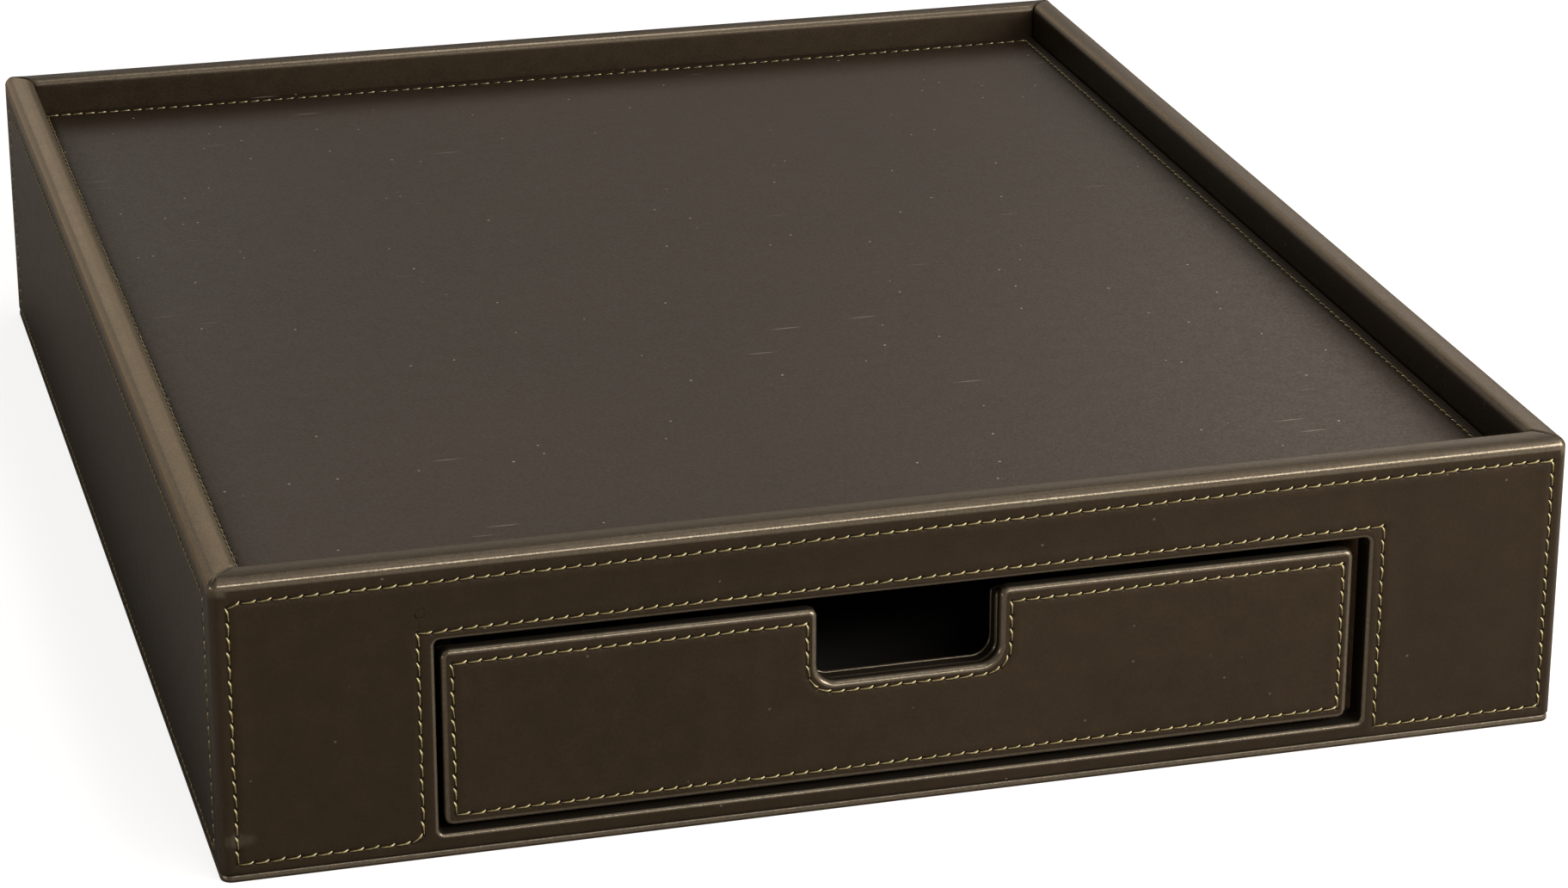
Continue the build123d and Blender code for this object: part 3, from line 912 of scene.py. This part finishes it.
sideSeams = {side: sideSeam(side) for side in ("left", "right", "back")}
mouth = opening["half"] + opening["edge"]
wallSheet("front", frontSeam, waves=0.05, opening=opening, stationsU=(-mouth, mouth),
          stationsV=(opening["bottom"] - opening["edge"], opening["top"] + opening["edge"]))
for side, seam in sideSeams.items():
    wallSheet(side, seam, waves=0.06)
print("walls done")


# Panels with a free outline: the deck and the drawer face

def panel(name, outline, edge, place, uLines, vLines, seam, rows, relief, body, node, finish, inGap=None):
    rim = outline.at(edge)

    def fine(u, v):
        return besideSeam(seam, u, v) | besideRim(rim, u, v, reach=2.2)

    flat, faces, atHole = cellGrid(uLines, vLines, fine, outline.holds(edge))
    loop = max(openLoops(faces), key=len)
    found = outline.nearest(flat[loop], edge)
    flat[loop] = rim[found]
    lift, marks = relief(flat)
    marks = {"rub": np.zeros(len(flat)), "hollow": np.zeros(len(flat)), **marks}
    outer = place(flat[:, 0], flat[:, 1], lift)
    inner = place(flat[:, 0], flat[:, 1], np.full(len(flat), -tray["sheet"]))
    spots, away = outline.points[found], outline.normals[found]
    # painted shade on the face's roll where it lies beside the frame
    gapShade = 0.95 * inGap(*spots.T) if inGap else 0.0
    sheet = rollOver((outer, inner, faces, marks), loop, spots, away, place, rows, gapShade, deep=0.9)
    shell(name, *sheet, finish, body, node)


def measured(low, high, **more):
    # the sides of a panel as its CAD node has them, and its further settings
    sides = {"left": low.x / mm, "right": high.x / mm, "bottom": low.z / mm, "top": high.z / mm}
    return {**sides, "front": low.y / mm, "thick": (high.y - low.y) / mm, **more}


deckLow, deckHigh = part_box("deck_cover")
deck = {
    "halfWidth": deckHigh.x / mm,
    "halfDepth": deckHigh.y / mm,
    "top": deckHigh.z / mm,
    "thick": (deckHigh.z - deckLow.z) / mm,
    "edge": 1.2,           # radius of the rolled edge
    "corner": 1.3,
    "cell": 2.6,
    "seamRight": 162.8,    # where the seams run
    "seamLeft": -163.4,
    "seamEnd": 197.8,
    "bow": 1.5,            # how far the far seam bends in between its ends
    "waves": 0.07,
    "sunk": 0.18,          # how far the leather sinks beside its rolled edge, and over what distance
    "sunkOver": 2.0,
    "dark": 0.6,           # how much painted shade darkens it there, and over what distance
    "paintedShadeOver": 3.5,
}


def deckSeamRuns():
    left, right, end = deck["seamLeft"], deck["seamRight"], deck["seamEnd"]
    bowed = [(left + (right - left) * (t + 1) / 2, end - deck["bow"] * (1 - t ** 4))
             for t in np.linspace(1, -1, 33)]
    nearLeft, nearRight, farRight, farLeft = (left, -end), (right, -end), (right, end), (left, end)
    return [[nearLeft, nearRight], [nearRight, farRight], bowed, [farLeft, nearLeft]]


deckSeam = Seam(deckSeamRuns(), tray["pitch"])
deckOutline = Outline([(x * deck["halfWidth"], y * deck["halfDepth"], deck["corner"])
                       for x, y in ((-1, -1), (1, -1), (1, 1), (-1, 1))])


def deckPlace(x, y, up):
    return np.stack([x, y, deck["top"] + up], axis=1)


def deckRelief(flat):
    lift, marks = seamRelief(deckSeam, flat, channel=0.16, puff=0.1)
    edgeGap = np.min([deck["halfWidth"], deck["halfDepth"]] - np.abs(flat), axis=1) - deck["edge"]
    lift += deck["waves"] * ripple(*flat.T, size=55.0) * rising(edgeGap, 0, 6)
    lift -= deck["sunk"] * np.exp(-edgeGap / deck["sunkOver"]) * (edgeGap > 0)
    # painted shade on the deck beside the walls
    marks["hollow"] = deck["dark"] * np.exp(-edgeGap / deck["paintedShadeOver"])
    return lift * rising(edgeGap, 0, 0.5), marks


deckLines = [linesThrough([deck["edge"] - half, half - deck["edge"]], deck["cell"])
             for half in (deck["halfWidth"], deck["halfDepth"])]
panel("deckSheet", deckOutline, deck["edge"], deckPlace, *deckLines, deckSeam,
      rolledRows(deck["edge"], deck["thick"]), deckRelief, "case", "deck_cover", deckLeather)
print("deck done")


def notchedOutline(look):
    left, right, bottom, top, corner = (look[key] for key in ("left", "right", "bottom", "top", "corner"))
    notchLeft, notchRight, notchFloor, radius = (
        look[key] for key in ("notchLeft", "notchRight", "notchFloor", "notchRadius"))
    return Outline([(left, bottom, corner), (right, bottom, corner), (right, top, corner),
                    (notchRight, top, corner), (notchRight, notchFloor, radius),
                    (notchLeft, notchFloor, radius), (notchLeft, top, corner), (left, top, corner)])


def notchedLines(look):
    # grid lines across and up a panel with a notch
    edge, step = look["edge"], look["cell"]
    across = [look["left"] + edge, look["notchLeft"] - edge,
              look["notchRight"] + edge, look["right"] - edge]
    upwards = [look["bottom"] + edge, look["notchFloor"] - edge, look["top"] - edge]
    return linesThrough(across, step), linesThrough(upwards, step)


def notchedPanel(name, look, seam, relief, node, inGap=None):
    rows = rolledRows(look["edge"], look["thick"], look["turnIn"], look["backEdge"])
    panel(name, notchedOutline(look), look["edge"], upright(look["front"]), *notchedLines(look), seam, rows,
          relief, "drawer", node, drawerLeather, inGap)


notch = {"notchLeft": -25.2, "notchRight": 22.4, "notchRadius": 5.0}
faceLow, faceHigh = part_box("drawer_face_cover")
face = measured(faceLow, faceHigh, edge=1.6, backEdge=1.6, turnIn=2.1, corner=2.2, cell=2.4,
                notchFloor=34.8, **notch)
faceRim = notchedOutline(face).at(face["edge"])


def arcPoints(x, z, radius, first, last):
    turns = np.radians(np.linspace(first, last, 9))
    return [(x + radius * math.cos(turn), z + radius * math.sin(turn)) for turn in turns]


notchSeam = [(25.3, 51.5), *arcPoints(18.6, 39.0, 6.7, 0, -90), *arcPoints(-21.1, 39.0, 6.7, -90, -180),
             (-27.8, 51.5)]
faceSeam = Seam([
    [(-117.0, 11.0), (114.3, 11.0)],
    [(114.3, 11.0), (114.3, 51.5)],
    [(114.3, 51.5), (25.3, 51.5)],
    notchSeam,
    [(-27.8, 51.5), (-117.0, 51.5)],
    [(-117.0, 51.5), (-117.0, 11.0)],
], tray["pitch"])


def faceRelief(flat):
    lift, marks = seamRelief(faceSeam, flat, puff=0.12)
    near = np.full(len(flat), 9.0)
    for x, z in faceRim[::5]:
        near = np.minimum(near, np.hypot(flat[:, 0] - x, flat[:, 1] - z))
    lift = lift + 0.05 * ripple(*flat.T, size=28.0)
    return lift * rising(near, 0, 0.9), marks


def besideFrame(x, z):
    # whether a point of the face's edge is next to the frame, so not in the notch; there its roll gets
    # painted shade
    return (x < face["notchLeft"] - 1) | (x > face["notchRight"] + 1) | (z < face["notchFloor"] - 9)


def plainRelief(flat):
    return np.zeros(len(flat)), {"side": np.full(len(flat), unmarked["side"]), "run": np.zeros(len(flat))}


notchedPanel("drawerFaceSheet", face, faceSeam, faceRelief, "drawer_face_cover", besideFrame)

# the box front behind the face and its lining, wrapped in the same way without a seam
behindLow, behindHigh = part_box("drawer_front_cover")
behind = measured(behindLow, behindHigh, edge=1.0, backEdge=1.0, turnIn=1.2, corner=1.2, cell=3.0,
                  notchFloor=33.95, **notch)
liningLow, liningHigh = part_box("drawer_front_lining")
lining = measured(liningLow, liningHigh, edge=0.36, backEdge=0.0, turnIn=0.0, corner=1.0, cell=3.0,
                  notchFloor=33.9, **notch)
unsewn = Seam([], tray["pitch"])
notchedPanel("drawerFrontSheet", behind, unsewn, plainRelief, "drawer_front_cover")
notchedPanel("drawerLiningSheet", lining, unsewn, plainRelief, "drawer_front_lining")
print("drawer face done")


# Base: a thin board wrapped in leather, turned in under the case

base = {
    "topRow": 1.89,
    "rollDown": 1.4,       # height and width of its upper edge
    "rollIn": 0.66,
    "rollUnder": 0.3,
    "turnIn": 18.0,
    "corner": 3.0,
}


def ring(inset, steps=9):
    # points round the case at an inset, in the same number and order for any inset
    halfX, halfY = tray["halfWidth"] - inset, tray["halfDepth"] - inset
    radius = max(base["corner"] - inset, 0.5)
    points = []
    for quarter, (right, ahead) in enumerate(((1, -1), (1, 1), (-1, 1), (-1, -1))):
        for turn in np.linspace(quarter - 1, quarter, steps) * math.pi / 2:
            points.append((right * (halfX - radius) + radius * math.cos(turn),
                           ahead * (halfY - radius) + radius * math.sin(turn)))
    return np.array(points)


def baseRows():
    # inset, height, outward and upward direction, wear with a painted sheen, painted shade in the fold
    rows = []
    for turn in np.linspace(0, math.pi / 2, 8):
        sideways, ahead = math.sin(turn), math.cos(turn)
        inFold = min(1.0, max(0.0, 2.2 - turn * 3))
        rows.append((base["rollIn"] * (1 - sideways), base["topRow"] - base["rollDown"] * (1 - ahead),
                     sideways, ahead, sideways ** 2 * ahead * 2.6, 0.95 * inFold))
    for turn in np.linspace(0, math.pi / 2, 6):
        rows.append((base["rollUnder"] * (1 - math.cos(turn)), base["rollUnder"] * (1 - math.sin(turn)),
                     math.cos(turn), -math.sin(turn), 0.0, 0.0))
    rows.append((base["turnIn"], 0.0, 0.0, -1.0, 0.0, 0.0))
    return rows


def baseSheet():
    outer, inner, faces, previous = [], [], [], None
    marks = {key: [] for key in unmarked}
    for inset, height, out, up, rub, hollow in baseRows():
        for sink, store in ((0.0, outer), (tray["sheet"], inner)):
            loop = ring(inset + out * sink)
            store.append(np.column_stack([loop, np.full(len(loop), height - up * sink)]))
        fresh = list(range((len(outer) - 1) * len(loop), len(outer) * len(loop)))
        marks = extended(marks, len(loop), rub=rub, hollow=hollow)
        if previous:
            faces += bridge(fresh, previous)
        previous = fresh
    shell("baseSheet", np.concatenate(outer), np.concatenate(inner), faces, marks, wallLeather, "case",
          "base_cover")


baseSheet()
print("base done")


# Sewing

def onWall(side):
    wall = Wall(side)

    def place(along, height, up):
        return wall.world(along, -up, height)
    return place


sewing("frontStitches", frontSeam, onWall("front"), "case")
for side, seam in sideSeams.items():
    sewing(side + "Stitches", seam, onWall(side), "case")
sewing("deckStitches", deckSeam, deckPlace, "case", sink=-0.14, fineness=0.85)
sewing("faceStitches", faceSeam, upright(face["front"]), "drawer")
print("sewing done")


# Floor, light and camera

floor = {
    "half": 14000.0,
    "below": 0.2,          # a hair under the tray, so that the two never meet
    "ownShade": 1.0,       # metres: no glow is mirrored from closer, where the tray shades the floor
}


def paleFloor():
    # seen white, and mirrored as a weaker, warmer glow from farther away
    f = Finish("floor")
    cloud = f.noise(3.0, 2.0)
    grey = f.blend(cloud.between(0.3, 0.7), (0.46, 0.42, 0.37, 1.0), (0.49, 0.45, 0.4, 1.0))
    through = f.read("ShaderNodeLightPath", "Is Transmission Ray")
    seen = (f.read("ShaderNodeLightPath", "Is Camera Ray") + through).clamped()
    far = f.read("ShaderNodeLightPath", "Ray Length") > floor["ownShade"]
    mirrored = f.read("ShaderNodeLightPath", "Is Glossy Ray") * far
    glow = f.blend(mirrored, (0.0, 0.0, 0.0, 1.0), (0.6, 0.52, 0.42, 1.0))
    glow = f.blend(seen, glow, (0.85, 0.85, 0.85, 1.0))
    return f.surface(grey, 0.9, Emission_Color=glow, Emission_Strength=1.0, Specular_IOR_Level=0.1)


corners = np.array([(-1, -1, 0), (1, -1, 0), (1, 1, 0), (-1, 1, 0)]) * floor["half"]
ground = addMesh("floor", corners, [(0, 1, 2, 3)], paleFloor(), {})
ground.location.z = -floor["below"] * mm

white, warm = (1.0, 1.0, 1.0), (1.0, 0.92, 0.84)
lamps = {  # places and sizes in metres
    "overhead": {"at": (0.4, -0.12, 1.9), "size": (1.0, 0.3), "power": 7.0},
    "over the front": {"at": (0.42, -0.85, 1.6), "size": (1.4, 0.3), "power": 2.4},
    "front": {"at": (0.4, -1.4, 0.85), "size": (1.5, 0.22), "power": 12.0},
    "right": {"at": (0.7, -0.6, 0.4), "size": (0.4, 0.4), "power": 6.2},
    "left": {"at": (-1.6, -0.4, 0.12), "size": (1.0, 0.2), "power": 3.6},
    "behind left": {"at": (-0.55, 1.95, 0.5), "size": (1.2, 0.9), "power": 1.6},
    "behind": {"at": (0.5, 1.3, 1.15), "size": (1.2, 0.7), "power": 1.5, "tone": warm},
    "low behind": {"at": (0.5, 2.0, 0.95), "size": (2.0, 0.5), "power": 2.1, "tone": warm},
    "rear right": {"at": (1.3, 1.5, 0.9), "size": (1.2, 1.0), "power": 2.9, "tone": warm},
}
lampTarget = Vector((0.0, 0.0, 0.04))
for name, look in lamps.items():
    lamp = bpy.data.lights.new(name, "AREA")
    lamp.shape = "RECTANGLE"
    lamp.size, lamp.size_y = look["size"]
    lamp.energy = look["power"]
    lamp.color = look.get("tone", white)
    made = bpy.data.objects.new(name, lamp)
    scene.collection.objects.link(made)
    turn = (Vector(look["at"]) - lampTarget).to_track_quat("Z", "Y")
    made.matrix_world = Matrix.LocRotScale(Vector(look["at"]), turn, None)

scene.world = bpy.data.worlds.new("surround")
scene.world.use_nodes = True
surround = scene.world.node_tree.nodes["Background"].inputs
surround["Color"].default_value = (1, 0.93, 0.86, 1)
surround["Strength"].default_value = 0.1

shot = {
    "at": (-0.30953, -1.20656, 0.51069),
    "turn": (68.72692, -0.55403, -16.65478),     # degrees
    "lens": 105.246,
    "shift": (-0.067256, -0.019471),
}
camera = bpy.data.cameras.new("camera")
camera.sensor_width = 36.0
camera.lens = shot["lens"]
camera.shift_x, camera.shift_y = shot["shift"]
camera.clip_start, camera.clip_end = 0.05, 60.0
eye = bpy.data.objects.new("camera", camera)
scene.collection.objects.link(eye)
turn = Euler([math.radians(angle) for angle in shot["turn"]])
eye.matrix_world = Matrix.LocRotScale(Vector(shot["at"]), turn, None)
scene.camera = eye
scene.view_settings.view_transform = "Standard"
print("stage done")
